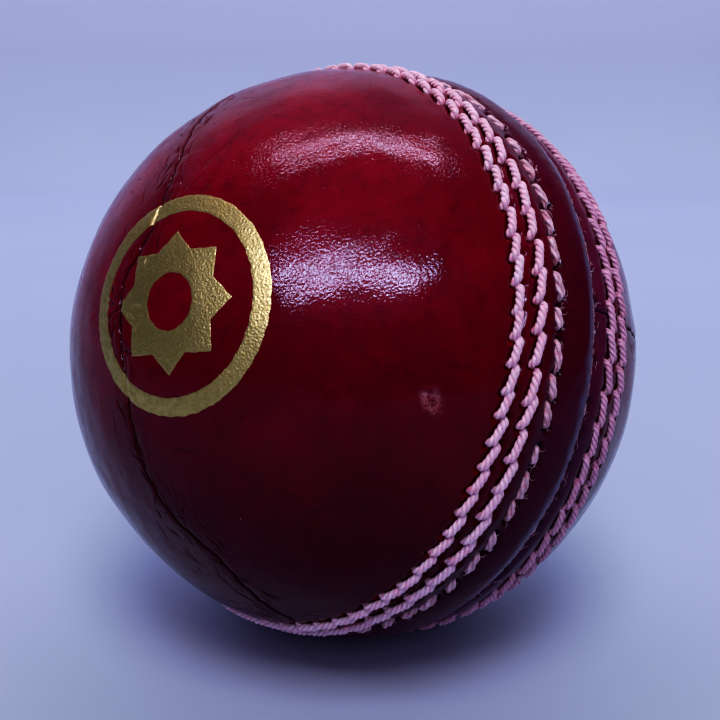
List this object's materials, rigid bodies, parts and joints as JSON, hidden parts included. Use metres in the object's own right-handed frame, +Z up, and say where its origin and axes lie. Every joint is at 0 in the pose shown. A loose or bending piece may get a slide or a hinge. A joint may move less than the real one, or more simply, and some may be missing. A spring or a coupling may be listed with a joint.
{
  "type": "cricket ball",
  "caption": "Leather cricket ball: quartered, lined and stitched cover with a raised seam round the equator, over a wound cork and yarn filling.",
  "frame": {"origin": "centre of the ball", "axes": "+Z up with the ball lying as it rests; the seam axis lies in the XZ plane, its left pole towards -X and raised 17.9 degrees"},
  "size_m": [0.072, 0.073, 0.0731],
  "materials": {
    "nucleus_cork": "moulded cork and rubber, matt, dark granules",
    "gore_cork": "natural cork, matt, open grain",
    "worsted_yarn": "tightly wound worsted wool, matt",
    "lining_leather": "undyed split leather, matt, fibrous",
    "red_leather": "deep crimson alum-tanned leather, lacquered to a gloss, fine pebble, creased along the quarter seam",
    "closing_thread": "waxed linen thread, satin",
    "seam_thread": "twisted waxed linen, off-white stained pink by the dye, satin",
    "gold_foil": "hot-stamped gold foil, dull metallic, following the leather's pebble"
  },
  "bodies": {
    "root": {"cork_nucleus": "nucleus_cork", "yarn_winding_1": "worsted_yarn", "cork_layer_1": "gore_cork", "yarn_winding_2": "worsted_yarn", "cork_layer_2": "gore_cork", "yarn_winding_3": "worsted_yarn", "cork_layer_3": "gore_cork", "yarn_winding_4": "worsted_yarn", "cork_layer_4": "gore_cork", "yarn_winding_5": "worsted_yarn", "cup_lining_left": "lining_leather", "cup_lining_right": "lining_leather", "leather_quarter_left_front": "red_leather", "leather_quarter_left_rear": "red_leather", "leather_quarter_right_upper": "red_leather", "leather_quarter_right_lower": "red_leather", "quarter_seam_thread_left": "closing_thread", "quarter_seam_thread_right": "closing_thread", "seam_row_left_outer": "seam_thread", "seam_row_left_middle": "seam_thread", "seam_row_left_inner": "seam_thread", "seam_row_right_inner": "seam_thread", "seam_row_right_middle": "seam_thread", "seam_row_right_outer": "seam_thread", "foil_stamp": "gold_foil"}
  },
  "joints": []
}
